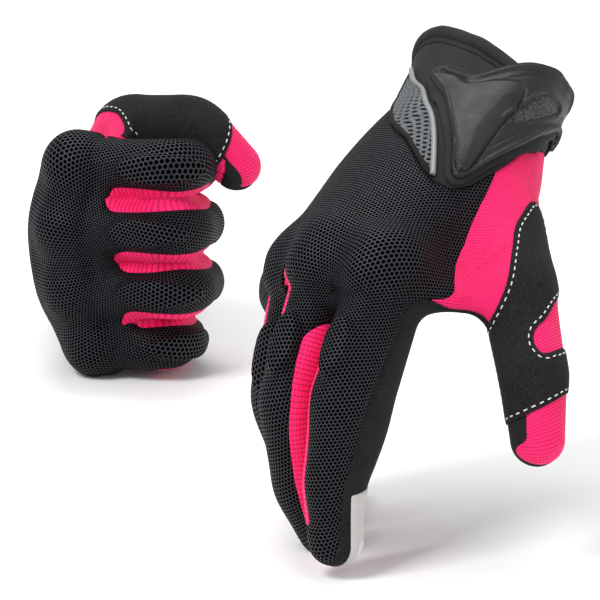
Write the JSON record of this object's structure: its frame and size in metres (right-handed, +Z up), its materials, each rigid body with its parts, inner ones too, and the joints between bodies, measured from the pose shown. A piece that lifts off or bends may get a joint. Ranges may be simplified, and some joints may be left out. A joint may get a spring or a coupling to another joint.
{
  "type": "riding gloves",
  "caption": "Short riding gloves with mesh backs, stretch strips between the fingers, suede palms and a moulded wrist strap tab, posed open and as a closed fist.",
  "frame": {"origin": "centre of the open glove's wrist opening, at the end of its cuff", "axes": "+Z up from the surface that the fingertips touch, +Y away from the viewer, from the open glove to the fist, +X to the open glove's thumb"},
  "size_m": [0.2205, 0.4112, 0.1788],
  "materials": {
    "air_mesh": "black open-hole knitted air mesh",
    "pink_knit": "hot pink ribbed stretch knit",
    "black_suede": "black synthetic suede, matt",
    "cuff_neoprene": "black neoprene with a knitted face",
    "edge_binding": "black folded elastic binding",
    "strap_rubber": "moulded dark rubber, satin",
    "vent_mesh": "grey hexagonal spacer mesh",
    "reflective_piping": "light grey reflective piping",
    "hook_and_loop": "black hook-and-loop tape",
    "touch_cloth": "pale grey conductive cloth"
  },
  "bodies": {
    "open_hand": {"open_back_panel": "air_mesh", "open_knuckle_guard": "air_mesh", "open_side_gusset": "pink_knit", "open_palm_panel": "black_suede", "open_thumb_base_back": "pink_knit", "open_thumb_base_palm": "black_suede", "open_cuff_band": "cuff_neoprene", "open_cuff_binding": "edge_binding", "open_vent_panel": "vent_mesh", "open_vent_piping": "reflective_piping", "open_loop_patch": "hook_and_loop"},
    "open_fingers": {"open_index_back": "air_mesh", "open_middle_back": "air_mesh", "open_ring_back": "air_mesh", "open_little_back": "air_mesh", "open_index_palm": "black_suede", "open_middle_palm": "black_suede", "open_ring_palm": "black_suede", "open_little_palm": "black_suede", "open_index_middle_strip": "pink_knit", "open_middle_ring_strip": "pink_knit", "open_ring_little_strip": "pink_knit", "open_little_side": "pink_knit", "open_index_touch_tip": "touch_cloth"},
    "open_thumb": {"open_thumb_back": "pink_knit", "open_thumb_palm": "black_suede", "open_thumb_patch": "black_suede"},
    "open_strap": {"open_strap_band": "cuff_neoprene", "open_strap_tab": "strap_rubber", "open_hook_patch": "hook_and_loop"},
    "fist_hand": {"fist_back_panel": "air_mesh", "fist_knuckle_guard": "air_mesh", "fist_side_gusset": "pink_knit", "fist_palm_panel": "black_suede", "fist_thumb_base_back": "pink_knit", "fist_thumb_base_palm": "black_suede", "fist_cuff_band": "cuff_neoprene", "fist_cuff_binding": "edge_binding", "fist_vent_panel": "vent_mesh", "fist_vent_piping": "reflective_piping", "fist_loop_patch": "hook_and_loop"},
    "fist_fingers": {"fist_index_back": "air_mesh", "fist_middle_back": "air_mesh", "fist_ring_back": "air_mesh", "fist_little_back": "air_mesh", "fist_index_palm": "black_suede", "fist_middle_palm": "black_suede", "fist_ring_palm": "black_suede", "fist_little_palm": "black_suede", "fist_index_middle_strip": "pink_knit", "fist_middle_ring_strip": "pink_knit", "fist_ring_little_strip": "pink_knit", "fist_little_side": "pink_knit", "fist_index_touch_tip": "touch_cloth"},
    "fist_thumb": {"fist_thumb_back": "pink_knit", "fist_thumb_palm": "black_suede", "fist_thumb_patch": "black_suede"},
    "fist_strap": {"fist_strap_band": "cuff_neoprene", "fist_strap_tab": "strap_rubber", "fist_hook_patch": "hook_and_loop"}
  },
  "joints": [
    {"name": "open_finger_flex", "type": "hinge", "parent": "open_hand", "child": "open_fingers", "pos_m": [-0.06832, -0.09485, -0.05019], "axis": [0.5915, -0.8032, 0.0709], "range_deg": [-20, 8]},
    {"name": "open_thumb_flex", "type": "hinge", "parent": "open_hand", "child": "open_thumb", "pos_m": [0.00608, -0.10419, -0.06084], "axis": [0.9445, 0.3203, -0.0735], "range_deg": [-12, 12]},
    {"name": "open_strap_peel", "type": "hinge", "parent": "open_hand", "child": "open_strap", "pos_m": [0.01535, -0.01927, -0.02704], "axis": [0.2737, 0.8611, 0.4285], "range_deg": [0, 75]},
    {"name": "fist_lift", "type": "slide", "parent": "open_hand", "child": "fist_hand", "axis": [0, 0, 1], "range_m": [0, 0.15]},
    {"name": "fist_finger_open", "type": "hinge", "parent": "fist_hand", "child": "fist_fingers", "pos_m": [-0.16981, 0.12219, -0.10774], "axis": [-0.1156, 0.0348, 0.9927], "range_deg": [-20, 0]},
    {"name": "fist_thumb_open", "type": "hinge", "parent": "fist_hand", "child": "fist_thumb", "pos_m": [-0.13941, 0.16176, -0.05516], "axis": [0.5226, 0.7514, 0.4029], "range_deg": [-15, 0]},
    {"name": "fist_strap_peel", "type": "hinge", "parent": "fist_hand", "child": "fist_strap", "pos_m": [-0.13314, 0.22262, -0.10381], "axis": [0.169, 0.985, -0.0347], "range_deg": [0, 75]}
  ]
}
